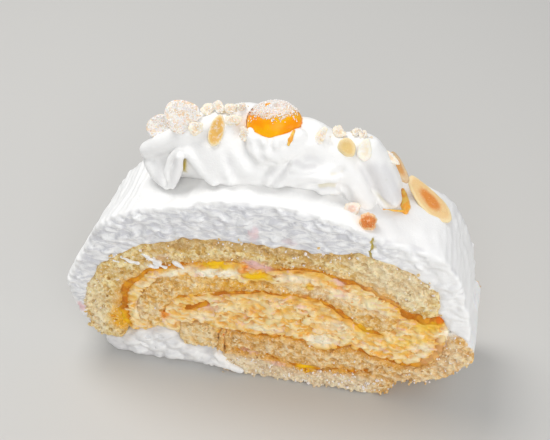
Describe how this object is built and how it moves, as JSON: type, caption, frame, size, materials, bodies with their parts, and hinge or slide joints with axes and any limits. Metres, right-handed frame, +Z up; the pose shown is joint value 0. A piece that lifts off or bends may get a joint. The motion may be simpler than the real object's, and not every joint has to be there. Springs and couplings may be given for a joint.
{
  "type": "rolled sponge cake slice",
  "caption": "Cut slice of a rolled sponge with mango mousse and orange jam, coated and piped with whipped cream, topped with almond flakes and a golden berry.",
  "frame": {"origin": "centre of the slice's box, on the surface it rests on", "axes": "+Z up; the shown cut face looks towards -Y, the roll runs along Y, +X is the right of the cut face"},
  "size_m": [0.1191, 0.0312, 0.0849],
  "materials": {
    "cream": "soft whipped cream, matt",
    "sponge": "open sponge crumb",
    "mousse": "torn creamy mousse",
    "jam": "wet orange jam",
    "berry": "smooth fruit skin under sugar",
    "nut": "roasted, slightly shiny",
    "almond": "dry cut almond"
  },
  "bodies": {
    "root": {"cream_coat": "cream", "cream_foot": "cream", "piped_cream": "cream", "sponge_outer": "sponge", "sponge_inner": "sponge", "sponge_base": "sponge", "sponge_end": "sponge", "mousse": "mousse", "jam_outer": "jam", "jam_inner": "jam", "jam_base": "jam", "jam_bottom": "jam", "jam_fleck": "jam", "jam_streak": "jam", "golden_berry": "berry", "nut_roasted": "nut", "almond_round": "almond", "almond_side": "almond", "almond_upright": "almond", "almond_oval": "almond", "almond_pale": "almond", "almond_long": "almond", "almond_tucked": "almond", "almond_front": "almond"}
  },
  "joints": []
}
